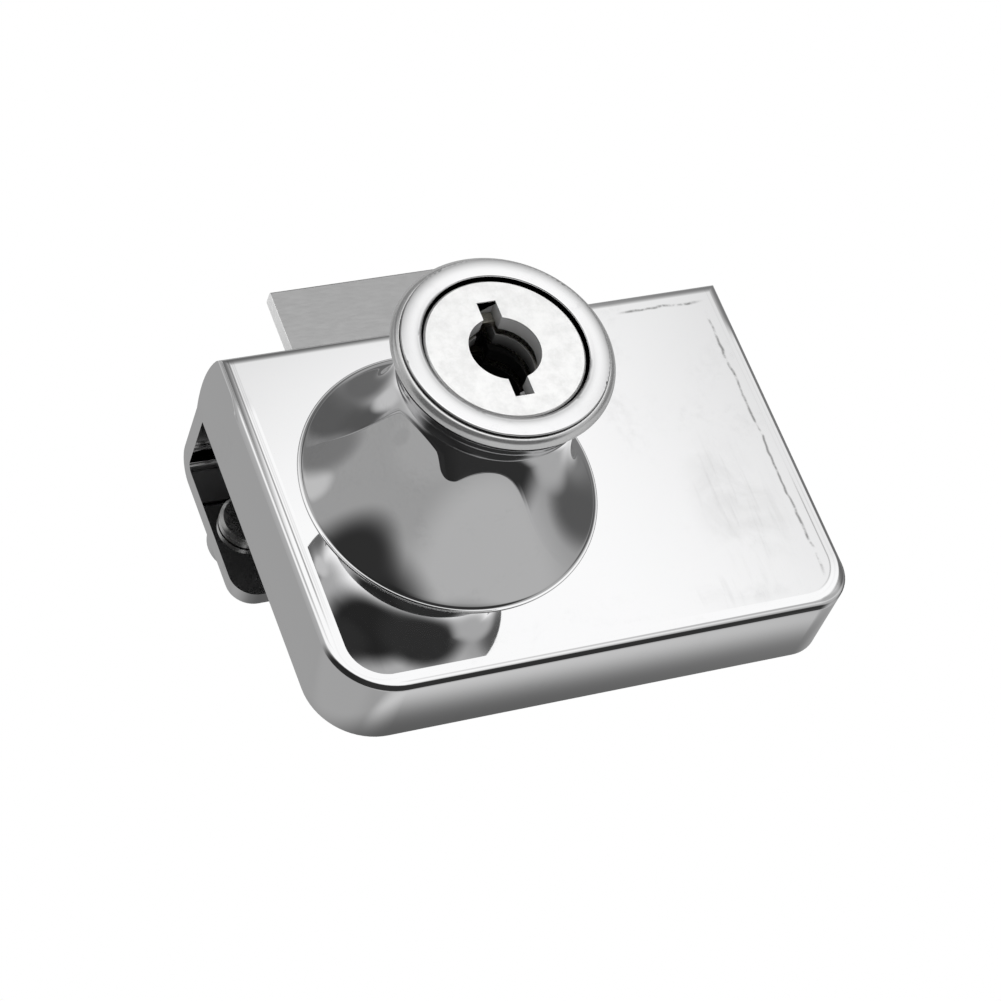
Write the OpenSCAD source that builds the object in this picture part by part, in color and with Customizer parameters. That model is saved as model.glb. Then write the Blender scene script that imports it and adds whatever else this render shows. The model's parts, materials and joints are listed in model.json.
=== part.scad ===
// Clip-on lock for a glass showcase door. A cast housing hooks over the door's top edge, two screws
// press on the glass from behind, and the key in the knob throws a flat bolt upwards.
// Frame: X to the right, Y into the door, Z up, the way the bolt throws. The origin lies on the knob's
// axis at the housing's rear face, which faces the glass. Lengths are in millimetres.

/* [Housing] */
// Width of the housing
body_w = 62.5; // [58:0.5:70]
// Height of the front face
body_h = 44.5; // [43:0.1:50]
// Thickness of the cast walls
wall = 1.8; // [1.6:0.1:2]
// Radius of the lower left corner
corner_left_r = 7.6; // [5:0.2:8]
// Radius of the lower right corner, which is tighter
corner_right_r = 4.8; // [4.4:0.2:8]
// How far the top swells above the front edge
crown_h = 1.4; // [1:0.1:2.2]
// Distance of the top's highest line from the rear face
crown_back = 3.8; // [3:0.1:5]
// Width of the bevel round the front face
bevel_w = 1.25; // [0.8:0.05:2]
// Depth of that bevel
bevel_d = 0.2; // [0.15:0.01:0.4]
// Radius between the bevel and the side walls
edge_r = 0.65; // [0.3:0.05:0.9]
// Distance of the knob's axis from the left side
knob_x = 20.6; // [19:0.1:26]
// Height of the knob's axis above the bottom
knob_z = 23.8; // [22:0.1:25]

/* [Hook over the glass] */
// Free gap between the rear face and the leg
glass_gap = 9; // [8.6:0.1:12]
// Thickness of the web over the door's edge
web_t = 2.05; // [1.6:0.05:2.6]
// Thickness of the rear leg
leg_t = 2; // [1.6:0.1:3]
// Height of the leg with the web
leg_h = 20.4; // [18:0.1:23]
// Radius of the leg's two lower corners
leg_r = 3; // [1:0.5:5]
// Outer radius where the web turns into the leg
hook_r = 3.2; // [2:0.1:3.6]
// Inner radius of the same turn
hook_in_r = 1; // [0.5:0.1:1.4]

/* [Clamp screws] */
// Thread diameter of the clamp screws
clamp_d = 5; // [4:0.5:6]
// Length of a clamp screw's shank
clamp_len = 6.2; // [6:0.1:8]
// Distance of a clamp screw's axis from the end of the leg
clamp_in = 4.4; // [4.4:0.1:10]
// Distance of the screws' axis below the web
clamp_drop = 9; // [8.6:0.1:12]
// Radius of the screw boss at the leg
boss_r = 4.3; // [3.6:0.1:4.4]
// Radius of the boss at its end
boss_end_r = 4.1; // [3.4:0.1:4.3]
// Height of the boss on the leg
boss_h = 2; // [1:0.1:3]
// Radius of a pressure pad
pad_r = 3.5; // [3:0.1:4.2]
// Thickness of a pressure pad
pad_t = 1.1; // [1:0.1:2]
// Radius of the pivot between a screw's tip and its pad
pivot_r = 1.5; // [1:0.1:1.6]
// Depth of that pivot in the pad
pivot_h = 0.7; // [0.5:0.1:0.8]
// Width across flats of the hex socket
hex_af = 2.5; // [2:0.5:3]
// Depth of the hex socket
hex_depth = 2; // [1.5:0.1:2.4]
// Gap between a pad that is drawn back and the leg
pad_gap = 0.2; // [0.1:0.05:0.4]
// Thickness of the rubber liner, which lies flush in the rear face
liner_t = 0.8; // [0.5:0.1:1.2]
// Gap round the liner
liner_gap = 0.3; // [0.2:0.05:0.6]

/* [Knob] */
// Wall of the knob at its throat
neck_wall = 1; // [0.8:0.05:1.6]
// How far the foot flares out from the throat
foot_flare = 6.5; // [6:0.1:8]
// Radius of the foot bead's section
bead_r = 0.2; // [0.2:0.05:0.5]
// Height of the head's largest circle above the front face
head_h = 24.4; // [23:0.1:26]
// Distance from that circle down to the throat
neck_drop = 7; // [6:0.1:8]
// Radius of the head's rounded lip
lip_r = 0.8; // [0.6:0.05:0.9]
// Wall of the head round the flange
lip_wall = 0.9; // [0.8:0.05:1.2]

/* [Cylinder] */
// Radius of the plug's turning body
plug_r = 7.4; // [7.2:0.05:7.8]
// Wall of the barrel that runs through the knob
barrel_wall = 1.85; // [1.7:0.05:2.2]
// How far the barrel's flange reaches out
flange_rim = 2.1; // [1.8:0.05:2.4]
// Thickness of the flange
flange_t = 2.1; // [1.9:0.1:2.4]
// Rise of the flange's front above the head's largest circle
flange_rise = 1.4; // [1.2:0.05:1.6]
// Height of the flange's rounded front
flange_dome = 0.5; // [0.3:0.05:0.8]
// Depth of the two flats that stop the barrel from turning
flat_in = 0.7; // [0.4:0.05:1]
// Thickness of the barrel nut
nut_t = 2; // [1.6:0.1:2.4]
// Wall of the barrel nut at its flats
nut_wall = 1.2; // [1:0.05:1.6]
// How far the plug's head reaches out over its body
face_rim = 1.3; // [1.1:0.05:1.5]
// Width of the dark groove round the plug's head
face_groove = 0.65; // [0.4:0.05:0.8]
// Thickness of the plug's head
face_t = 1.2; // [1:0.05:1.4]
// How far the plug's face lies below the flange's front
face_in = 0.2; // [0.1:0.05:0.4]
// Radius of the round part of the keyhole
key_r = 4; // [3.4:0.1:4.1]
// Width of the keyhole's two slots
key_w = 2.2; // [1.6:0.1:2.4]
// Reach of the slots from the axis
key_reach = 6.1; // [5.8:0.1:6.2]
// Depth of the keyhole
key_depth = 17; // [15:0.5:18]

/* [Wafers] */
// Number of wafers
wafer_n = 5; // [3:1:5]
// Thickness of a wafer
wafer_t = 1; // [0.8:0.1:1.1]
// Distance from one wafer to the next
wafer_pitch = 2.7; // [2.5:0.1:2.9]
// Depth of the first wafer's front below the plug's face
wafer_first = 2.3; // [2.2:0.1:2.6]
// Half width of a wafer
wafer_x = 4.8; // [4.7:0.05:4.85]
// Travel of a wafer from the turning line into the groove
wafer_go = 0.7; // [0.5:0.05:0.75]
// Height of the shallowest key cut above the keyhole's round part
cut_rise = 0.4; // [0.3:0.05:0.6]
// Difference in height from one key cut to the next
cut_step = 0.15; // [0.1:0.05:0.2]
// Radius of a wafer's spring
spring_r = 0.5; // [0.4:0.05:0.5]
// Height of the ear that the spring pushes
ear_h = 1.4; // [1:0.1:1.6]

/* [Bolt and crank] */
// Width of the bolt
bolt_w = 22.2; // [20:0.1:23]
// Thickness of the bolt
bolt_t = 2; // [1.8:0.1:2.2]
// Distance of the bolt's middle to the right of the knob's axis
bolt_shift = 2.15; // [1.5:0.05:2.5]
// Distance of the crank pin from the knob's axis, half the bolt's travel
crank_r = 5.45; // [4.5:0.05:5.5]
// Radius of the crank pin
pin_r = 1.5; // [1.2:0.1:1.6]
// Thickness of the crank disc
crank_t = 1.2; // [1:0.1:1.3]
// Material of the crank disc round the pin
crank_rim = 0.45; // [0.3:0.05:0.6]
// Radius of the plug's tail, which has two flats
tail_r = 2.6; // [2.4:0.1:2.8]
// Half distance between the tail's flats
tail_flat = 1.9; // [1.6:0.1:2]
// Radius of the crank screw's head
crank_head_r = 3.4; // [3.2:0.1:3.6]
// Height of the crank screw's head
crank_head_h = 1.1; // [0.9:0.1:1.2]
// Radius of the crank screw's thread
crank_screw_r = 1.5; // [1:0.1:1.5]
// Length of the crank screw's thread
crank_screw_len = 7; // [5:0.5:8]
// Material of the bolt below the drive slot
bolt_foot = 3.6; // [3:0.1:5]

/* [Cover] */
// Thickness of the cover plate
cover_t = 1.4; // [1:0.1:1.6]
// How far the cover's top edge reaches above the web's underside
tuck = 0.65; // [0.4:0.05:0.8]
// Radius of the two bosses for the cover screws
post_r = 2.8; // [2.6:0.1:3.2]
// Liner that is left between a cover screw and the liner's edge
post_edge = 0.8; // [0.6:0.1:1.2]
// Head radius of the cover screws
cover_head_r = 2.1; // [1.9:0.1:2.2]
// Height of their countersunk heads
cover_head_h = 1; // [0.8:0.05:1.1]
// Thread radius of the cover screws
cover_screw_r = 1.05; // [0.9:0.05:1.2]
// Length of the cover screws
cover_screw_len = 6.5; // [5:0.5:7]
// Width of the cross recess in the small screws
cross_w = 0.5; // [0.4:0.05:0.7]
// Depth of that recess
cross_depth = 0.7; // [0.5:0.05:0.8]
// Reach of that recess, as a part of the head's radius
cross_reach = 0.55; // [0.45:0.05:0.65]
// Width of a guide rail beside the bolt
rail_w = 1.7; // [1.4:0.1:2]
// Width of the ledge that carries the bolt's edge
ledge_w = 1.6; // [1.2:0.1:1.9]
// Length of the guide rails below the housing's top wall
rail_h = 8.6; // [7:0.1:8.8]

/* [Fits] */
// Radial clearance of parts that turn or slide in a bore
run_fit = 0.05; // [0.03:0.01:0.08]
// Clearance of flat parts that slide on each other
slide_fit = 0.1; // [0.06:0.02:0.12]
// Clearance of a screw's thread in its hole
screw_fit = 0.03; // [0.02:0.01:0.05]
// Gap between the crank screw's head and the bolt
head_gap = 0.35; // [0.2:0.05:0.5]
// How far the barrel's end stands out of its nut
barrel_out = 0.2; // [0.1:0.05:0.4]

/* [Hidden] */
$fn = 64;
eps = 0.01;
arc_n = 5;
// small edges: on the plug's face, a pad's front and a clamp screw's end
face_edge = 0.2;
pad_edge = 0.4;
point_edge = 0.5;
// room past the end of a screw, and at both ends of the wafers' groove
hole_end = 0.3;
// length of the barrel's flats in front of the housing
flat_len = 3;
// how far a cover screw's boss reaches into the wall beside it
post_sink = 0.4;
// where the knob's two hollows run out: height on the foot bead, reach on the lip
bead_end = 0.4 * bead_r;
lip_end = 0.9 * lip_r;
// height of each wafer's cut, in steps, from the first wafer to the last
cuts = [3, 1, 4, 2, 3];
// reach and underside of the ear that a spring lifts, and half the height of its pocket
ear_x = wafer_x + 1.2;
ear_low = 0.2;
pocket_z = 3.3;
// the housing is as deep as what lies behind its front wall
body_d = wall + nut_t + barrel_out + run_fit + crank_t + crank_head_h + head_gap + bolt_t + slide_fit
    + cover_t + liner_t;
barrel_r = plug_r + run_fit + barrel_wall;
flange_r = barrel_r + flange_rim;
face_r = plug_r + face_rim;
recess_r = face_r + face_groove;
flat_x = barrel_r - flat_in;
neck_r = barrel_r + run_fit + neck_wall;
neck_h = head_h - neck_drop;
foot_r = neck_r + foot_flare;
head_r = flange_r + run_fit + lip_wall;
left = -knob_x;
right = body_w - knob_x;
bottom = -knob_z;
top_edge = body_h - knob_z;
crown_top = top_edge + crown_h;
front = -body_d;
// the rim between the front face and a wall: a bevel, then an arc that is tangent to both
bevel_a = atan(bevel_d / bevel_w);
rim_d = bevel_d + edge_r * tan(45 - bevel_a / 2);
crown_a = 2 * atan(crown_h / (body_d - crown_back - bevel_d));
crown_start = rim_at(90 - crown_a);
crown_run = body_d - crown_back - crown_start[1];
crown_rise = crown_h + crown_start[0];
crown_r = (pow(crown_run, 2) + pow(crown_rise, 2)) / (2 * crown_rise);
crown_rear = crown_top - crown_r + sqrt(pow(crown_r, 2) - pow(crown_back, 2));
web_under = crown_rear - web_t;
cavity_top = web_under + tuck;
cavity_front = front + wall;
leg_bottom = crown_rear - leg_h;
leg_back = glass_gap + leg_t;
clamp_z = web_under - clamp_drop;
clamp_x = [left + clamp_in, right - clamp_in];
pad_back = glass_gap - pad_gap;
pad_front = pad_back - pad_t;
screw_front = pad_back + slide_fit;
// stack of the mechanism from the front wall to the cover
nut_back = cavity_front + nut_t;
barrel_back = nut_back + barrel_out;
crank_front = barrel_back + run_fit;
crank_back = crank_front + crank_t;
bolt_front = crank_back + crank_head_h + head_gap;
bolt_back = bolt_front + bolt_t;
cover_front = bolt_back + slide_fit;
cover_back = cover_front + cover_t;
lip_low = web_under + 1.5 * slide_fit;
travel = 2 * crank_r;
bolt_top = crown_top + travel - slide_fit;
slot_r = pin_r + slide_fit;
// the drive slot is lowest where the pin's path runs level the second time
bolt_low = pin_at(180 - asin(2 / PI))[1] - slot_r - bolt_foot;
bolt_x = [bolt_shift - bolt_w / 2, bolt_shift + bolt_w / 2];
flange_front = front - head_h - flange_rise;
flange_back = flange_front + flange_t;
face_front = flange_front + face_in;
face_back = face_front + face_t;
middle = (left + right) / 2;
posts = [
    [left + post_in(corner_left_r), bottom + post_in(corner_left_r)],
    [right - post_in(corner_right_r), bottom + post_in(corner_right_r)]
];

// Point of the rim's arc where its surface leans back by the angle a: distance in from the wall, depth
function rim_at(a) = [edge_r * (1 - sin(a)), rim_d - edge_r * cos(a)];

// Distance of a cover screw from both walls, so that it stays clear of a corner of radius r
function post_in(r) = max(
    wall + post_r - post_sink,
    r - (r - wall - cover_head_r - 3 * liner_gap - post_edge) / sqrt(2)
);

// The rim from the front face to the angle a_end of its arc
function rim(a_end) = concat(
    [[bevel_w, 0]],
    [for (i = [0 : arc_n]) rim_at(bevel_a + (a_end - bevel_a) * i / arc_n)]
);

// A profile drawn in (y, z) and drawn out along X
module along_x(x0, x1) {
    translate([x0, 0, 0]) rotate([90, 0, 90]) linear_extrude(x1 - x0) children();
}

// A profile drawn in (x, z) and drawn out along Y
module along_y(y0, y1) {
    translate([0, y1, 0]) rotate([90, 0, 0]) linear_extrude(y1 - y0) children();
}

// A cylinder along Y, with its axis at x and z
module rod(r, y0, y1, x = 0, z = 0) {
    translate([x, y0, z]) rotate([-90, 0, 0]) cylinder(r = r, h = y1 - y0);
}

// A cone along Y, r0 wide at y0 and r1 wide at y1
module cone_y(r0, r1, y0, y1, x = 0, z = 0) {
    translate([x, y0, z]) rotate([-90, 0, 0]) cylinder(r1 = r0, r2 = r1, h = y1 - y0);
}

// A rectangle between two corners
module rect(x0, z0, x1, z1) {
    translate([x0, z0]) square([x1 - x0, z1 - z0]);
}

// The housing's section across its width: bevelled rims, and an arched top
module side_section() {
    low = [for (p = rim(90)) [front + p[1], bottom + p[0]]];
    high = [for (p = rim(90 - crown_a)) [front + p[1], top_edge - p[0]]];
    start = front + crown_start[1];
    polygon(concat(
        low,
        [[0, bottom], [0, 0], [start, 0]],
        [for (i = [arc_n : -1 : 0]) high[i + 1]],
        [high[0]]
    ));
    intersection() {
        rect(start, 0, 0, crown_top + 1);
        translate([-crown_back, crown_top - crown_r]) circle(crown_r, $fn = 128);
    }
}

// The housing's plan section, with a rim on both sides, turned upright
module plan_section() {
    pts = rim(90);
    polygon(concat(
        [for (p = pts) [left + p[0], front + p[1]]],
        [[left, 0], [right, 0]],
        [for (i = [len(pts) - 1 : -1 : 0]) [right - pts[i][0], front + pts[i][1]]]
    ));
}

// One lower corner of radius r, turned about its own axis so that the rim runs round it
module corner(x, r) {
    pts = rim(90);
    translate([x, 0, bottom + r]) rotate([90, 0, 0]) rotate_extrude()
        polygon(concat(
            [[0, 0], [r, 0]],
            [for (i = [len(pts) - 1 : -1 : 0]) [r - pts[i][0], body_d - pts[i][1]]],
            [[0, body_d]]
        ));
}

// The half of the housing between x0 and x1 that stands above a corner of radius r
module upper_half(x0, x1, r) {
    intersection() {
        translate([0, 0, bottom + r]) linear_extrude(crown_top + 1 - bottom - r) plan_section();
        along_x(x0, x1) side_section();
    }
}

module body_outside() {
    along_x(left + corner_left_r, right - corner_right_r) side_section();
    upper_half(left, middle, corner_left_r);
    upper_half(middle, right, corner_right_r);
    corner(left + corner_left_r, corner_left_r);
    corner(right - corner_right_r, corner_right_r);
}

// An outline with round lower corners, used for the cavity and, with a clearance, for the cover
module cavity_outline(gap) {
    x0 = left + wall + gap;
    x1 = right - wall - gap;
    z0 = bottom + wall + gap;
    r0 = corner_left_r - wall - gap;
    r1 = corner_right_r - wall - gap;
    rect(x0, z0 + r0, middle, cavity_top - gap);
    rect(middle - eps, z0 + r1, x1, cavity_top - gap);
    rect(x0 + r0, z0, x1 - r1, z0 + max(r0, r1) + eps);
    translate([x0 + r0, z0 + r0]) circle(r0);
    translate([x1 - r1, z0 + r1]) circle(r1);
}

// The web and the rear leg in section, with a round turn between them
module hook_section() {
    difference() {
        union() {
            rect(cover_back, lip_low, eps, crown_rear - eps);
            rect(0, web_under, leg_back - hook_r, crown_rear);
            rect(leg_back - hook_r, crown_rear - hook_r - 1, leg_back, crown_rear - hook_r);
            rect(glass_gap, leg_bottom, leg_back, crown_rear - hook_r);
            translate([leg_back - hook_r, crown_rear - hook_r]) circle(hook_r);
        }
        rect(eps, leg_bottom - 1, glass_gap - hook_in_r, web_under);
        rect(0, leg_bottom - 1, glass_gap, web_under - hook_in_r);
        translate([glass_gap - hook_in_r, web_under - hook_in_r]) circle(hook_in_r);
    }
}

// The rear leg's outline seen from behind
module leg_outline() {
    rect(left, leg_bottom + leg_r, right, crown_rear + 1);
    rect(left + leg_r, leg_bottom, right - leg_r, leg_bottom + leg_r + eps);
    translate([left + leg_r, leg_bottom + leg_r]) circle(leg_r);
    translate([right - leg_r, leg_bottom + leg_r]) circle(leg_r);
}

// A guide rail beside the bolt, with a ledge under the bolt's edge. side is -1 at the left, 1 at the right
module guide_rail(side) {
    edge = side < 0 ? bolt_x[0] : bolt_x[1];
    inner = edge - side * ledge_w;
    step = edge + side * slide_fit;
    outer = step + side * rail_w;
    along_y(cavity_front - eps, bolt_front - slide_fit)
        rect(min(inner, outer), cavity_top - rail_h, max(inner, outer), cavity_top + eps);
    along_y(bolt_front - slide_fit - eps, cover_front)
        rect(min(step, outer), cavity_top - rail_h, max(step, outer), cavity_top + eps);
}

module housing() {
    color([0.80, 0.81, 0.83]) difference() {
        union() {
            difference() {
                body_outside();
                along_y(cavity_front, 1) cavity_outline(0);
            }
            intersection() {
                along_x(left, right) hook_section();
                along_y(-2, leg_back + 1) leg_outline();
            }
            guide_rail(-1);
            guide_rail(1);
            for (p = posts) rod(post_r, cavity_front - eps, cover_front, p[0], p[1]);
            for (x = clamp_x) cone_y(boss_r, boss_end_r, leg_back - eps, leg_back + boss_h, x, clamp_z);
        }
        intersection() {
            rod(barrel_r + run_fit, front - 1, cavity_front + 1);
            along_y(front - 1, cavity_front + 1)
                rect(-flat_x - run_fit, -barrel_r - 1, flat_x + run_fit, barrel_r + 1);
        }
        along_y(bolt_front - slide_fit, bolt_back + slide_fit)
            rect(bolt_x[0] - slide_fit, cavity_top - 1, bolt_x[1] + slide_fit, crown_top + 1);
        for (p = posts)
            rod(cover_screw_r + screw_fit, cover_back - cover_screw_len - hole_end, cover_back, p[0], p[1]);
        for (x = clamp_x)
            rod(clamp_d / 2 + run_fit, glass_gap - 1, leg_back + boss_h + 1, x, clamp_z);
    }
}

module back_cover() {
    color([0.70, 0.71, 0.72]) difference() {
        along_y(cover_front, cover_back) cavity_outline(slide_fit);
        for (p = posts) {
            rod(cover_screw_r + slide_fit, cover_front - 1, cover_back, p[0], p[1]);
            cone_y(cover_screw_r + slide_fit, cover_head_r + slide_fit, cover_back - cover_head_h,
                cover_back + eps, p[0], p[1]);
        }
    }
}

module cover_screws() {
    color([0.62, 0.63, 0.65]) for (p = posts) difference() {
        union() {
            cone_y(cover_screw_r, cover_head_r, cover_back - cover_head_h, cover_back, p[0], p[1]);
            rod(cover_screw_r, cover_back - cover_screw_len, cover_back - cover_head_h + eps, p[0], p[1]);
        }
        for (a = [0, 90]) translate([p[0], 0, p[1]]) rotate([0, a, 0])
            along_y(cover_back - cross_depth, cover_back + 1)
                rect(-cross_reach * cover_head_r, -cross_w / 2, cross_reach * cover_head_r, cross_w / 2);
    }
}

module glass_liner() {
    color([0.08, 0.08, 0.08]) along_y(cover_back, 0) difference() {
        intersection() {
            cavity_outline(liner_gap);
            rect(left, bottom, right, web_under - liner_gap);
        }
        for (p = posts) translate(p) circle(cover_head_r + 2 * liner_gap);
    }
}

// Half section of the knob, as radius and height above the front face: a foot bead, a long hollow
// flare up to the throat, a short one up to the head, and a rounded lip round the flange's seat
module knob_section() {
    bead_c = foot_r - bead_r;
    lip_c = head_r - lip_r;
    low_rise = bead_c - bead_r - neck_r;
    low_r = (pow(neck_h, 2) + pow(low_rise, 2)) / (2 * low_rise);
    high_run = head_h - neck_h;
    high_rise = lip_c + lip_end - neck_r;
    high_r = (pow(high_run, 2) + pow(high_rise, 2)) / (2 * high_rise);
    intersection() {
        rect(0, 0, foot_r, head_h + lip_r);
        difference() {
            union() {
                rect(0, 0, bead_c, neck_h + eps);
                rect(0, neck_h, lip_c + lip_end, head_h);
                translate([bead_c, 0]) circle(bead_r);
                translate([lip_c, head_h]) circle(lip_r);
            }
            intersection() {
                rect(0, bead_end, foot_r + low_r, neck_h);
                translate([neck_r + low_r, neck_h]) circle(low_r, $fn = 160);
            }
            intersection() {
                rect(0, neck_h - eps, foot_r + low_r, head_h);
                translate([neck_r + high_r, neck_h]) circle(high_r, $fn = 160);
            }
            rect(0, -1, barrel_r + run_fit, head_h + 2);
            rect(0, front - flange_back, flange_r + run_fit, head_h + 2);
        }
    }
}

module knob() {
    color([0.82, 0.83, 0.85]) translate([0, front, 0]) rotate([90, 0, 0]) rotate_extrude($fn = 128)
        knob_section();
}

// The barrel in half section: its flange has a raised round ring, and a recess for the plug's face
module barrel_section() {
    ring_w = (flange_r - recess_r) / 2;
    ring_r = (pow(ring_w, 2) + pow(flange_dome, 2)) / (2 * flange_dome);
    front_h = -flange_front;
    difference() {
        union() {
            rect(0, -barrel_back, barrel_r, -flange_back + eps);
            rect(0, -flange_back, flange_r, front_h - flange_dome);
            intersection() {
                rect(recess_r, front_h - flange_dome - eps, flange_r, front_h);
                translate([recess_r + ring_w, front_h - ring_r]) circle(ring_r, $fn = 96);
            }
        }
        rect(0, -face_back - run_fit, recess_r, front_h + 1);
        rect(0, -barrel_back - 1, plug_r + run_fit, front_h);
    }
}

// Where the wafers may stand out of the plug: the plug's circle moved up and down by their travel
module groove_outline() {
    intersection() {
        rect(-wafer_x - 2 * run_fit, -barrel_r, wafer_x + 2 * run_fit, barrel_r);
        union() for (s = [-1, 1]) translate([0, s * (wafer_go + run_fit)]) circle(plug_r);
    }
}

module lock_barrel() {
    color([0.84, 0.85, 0.86]) difference() {
        rotate([90, 0, 0]) rotate_extrude($fn = 128) barrel_section();
        along_y(wafer_y(0) - hole_end, wafer_y(wafer_n - 1) + wafer_t + hole_end) groove_outline();
        for (a = [0, 180]) rotate([0, a, 0]) along_y(front - flat_len, barrel_back + 1)
            rect(flat_x, -barrel_r, barrel_r + 1, barrel_r);
    }
}

module barrel_nut() {
    color([0.72, 0.70, 0.62]) difference() {
        along_y(cavity_front, nut_back) circle(r = (barrel_r + nut_wall) * 2 / sqrt(3), $fn = 6);
        rod(barrel_r + run_fit, cavity_front - 1, nut_back + 1);
    }
}

// Front of wafer i, counted from 0
function wafer_y(i) = face_front + wafer_first + i * wafer_pitch;
// Every second wafer is turned over, so that its spring is on the other side
function flip(i) = i % 2 == 0 ? 0 : 180;

// The two flats of the plug's tail, also used for the crank's hole
module tail_outline(gap) {
    intersection() {
        circle(tail_r + gap);
        rect(-tail_flat - gap, -tail_r - 1, tail_flat + gap, tail_r + 1);
    }
}

module plug() {
    color([0.86, 0.86, 0.84]) difference() {
        union() {
            cone_y(face_r - face_edge, face_r, face_front, face_front + face_edge);
            rod(face_r, face_front + face_edge - eps, face_back);
            rod(plug_r, face_back - eps, barrel_back);
            along_y(barrel_back - eps, crank_back - slide_fit) tail_outline(0);
        }
        rod(key_r, face_front - 1, face_front + key_depth);
        along_y(face_front - 1, face_front + key_depth) rect(-key_w / 2, -key_reach, key_w / 2, key_reach);
        for (i = [0 : wafer_n - 1]) rotate([0, flip(i), 0]) {
            along_y(wafer_y(i) - run_fit, wafer_y(i) + wafer_t + run_fit)
                rect(-wafer_x - run_fit, -plug_r - 1, wafer_x + run_fit, plug_r + 1);
            along_y(wafer_y(i) - run_fit, wafer_y(i) + wafer_t + run_fit)
                rect(0, -pocket_z, ear_x + run_fit, pocket_z);
        }
        rod(crank_screw_r + screw_fit, crank_back - crank_screw_len - hole_end, crank_back + 1);
    }
}

// A wafer: round ends that match the plug, a window for the key and an ear for its spring
module wafer(i) {
    color([0.78, 0.66, 0.36]) rotate([0, flip(i), 0]) along_y(wafer_y(i), wafer_y(i) + wafer_t) difference() {
        union() {
            intersection() {
                circle(plug_r - run_fit);
                rect(-wafer_x, -plug_r, wafer_x, plug_r);
            }
            rect(0, ear_low, ear_x, ear_low + ear_h);
        }
        circle(key_r + slide_fit);
        translate([0, -wafer_go - run_fit]) circle(key_r + slide_fit);
        rect(-key_r - slide_fit, -wafer_go - run_fit, key_r + slide_fit, 0);
        rect(-key_w / 2 - slide_fit, -key_reach - slide_fit, key_w / 2 + slide_fit,
            key_r + cut_rise + cuts[i] * cut_step);
    }
}

module wafer_spring(i) {
    color([0.55, 0.56, 0.58]) rotate([0, flip(i), 0])
        translate([ear_x - spring_r - run_fit, wafer_y(i) + wafer_t / 2, -pocket_z])
            cylinder(r = min(spring_r, wafer_t / 2), h = pocket_z + ear_low);
}

module crank() {
    color([0.66, 0.66, 0.64]) difference() {
        union() {
            rod(crank_r + pin_r + crank_rim, crank_front, crank_back);
            rod(pin_r, crank_back - eps, bolt_back, 0, crank_r);
        }
        along_y(crank_front - 1, crank_back + 1) tail_outline(run_fit);
    }
}

module crank_screw() {
    color([0.60, 0.61, 0.63]) difference() {
        union() {
            rod(crank_head_r, crank_back, crank_back + crank_head_h);
            rod(crank_screw_r, crank_back - crank_screw_len, crank_back + eps);
        }
        for (a = [0, 90]) rotate([0, a, 0])
            along_y(crank_back + crank_head_h - cross_depth, crank_back + crank_head_h + 1)
                rect(-cross_reach * crank_head_r, -cross_w / 2, cross_reach * crank_head_r, cross_w / 2);
    }
}

// Path of the crank pin seen from the bolt. The bolt moves evenly with the crank's angle a,
// so the pin bears on the slot's upper side on the way out and on its lower side on the way back
function pin_at(a) = [crank_r * sin(a), crank_r * (cos(a) + a / 90)];
function pin_side(a) = let (dx = cos(a), dz = 2 / PI - sin(a), d = norm([dx, dz])) [-dz / d, dx / d];

module drive_slot() {
    polygon([for (a = [0 : 7.5 : 180]) pin_at(a) + slot_r * pin_side(a)]);
    translate([0, crank_r]) circle(slot_r);
}

module bolt() {
    color([0.64, 0.65, 0.66]) along_y(bolt_front, bolt_back) difference() {
        rect(bolt_x[0], bolt_low, bolt_x[1], bolt_top);
        drive_slot();
    }
}

module clamp_screw(x) {
    r = clamp_d / 2;
    color([0.58, 0.59, 0.61]) difference() {
        union() {
            rod(pivot_r, screw_front - slide_fit - pivot_h + run_fit, screw_front + eps, x, clamp_z);
            cone_y(r - point_edge, r, screw_front, screw_front + point_edge, x, clamp_z);
            rod(r, screw_front + point_edge - eps, screw_front + clamp_len, x, clamp_z);
        }
        translate([x, 0, clamp_z]) along_y(screw_front + clamp_len - hex_depth, screw_front + clamp_len + 1)
            circle(r = hex_af / sqrt(3), $fn = 6);
    }
}

module pressure_pad(x) {
    color([0.70, 0.71, 0.73]) difference() {
        union() {
            cone_y(pad_r - pad_edge, pad_r, pad_front, pad_front + pad_edge, x, clamp_z);
            rod(pad_r, pad_front + pad_edge - eps, pad_back, x, clamp_z);
        }
        rod(pivot_r + run_fit, pad_back - pivot_h, pad_back + 1, x, clamp_z);
    }
}

housing();
back_cover();
cover_screws();
glass_liner();
knob();
lock_barrel();
barrel_nut();
plug();
crank();
crank_screw();
bolt();
wafer(0);  // wafer_1
wafer(1);  // wafer_2
wafer(2);  // wafer_3
wafer(3);  // wafer_4
wafer(4);  // wafer_5
wafer_spring(0);  // wafer_spring_1
wafer_spring(1);  // wafer_spring_2
wafer_spring(2);  // wafer_spring_3
wafer_spring(3);  // wafer_spring_4
wafer_spring(4);  // wafer_spring_5
clamp_screw(clamp_x[0]);  // clamp_screw_left
clamp_screw(clamp_x[1]);  // clamp_screw_right
pressure_pad(clamp_x[0]);  // pressure_pad_left
pressure_pad(clamp_x[1]);  // pressure_pad_right
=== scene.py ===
import json
from math import atan2, cos, degrees, pi, radians, sin, sqrt
import bmesh
import bpy
from mathutils import Matrix, Vector


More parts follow.
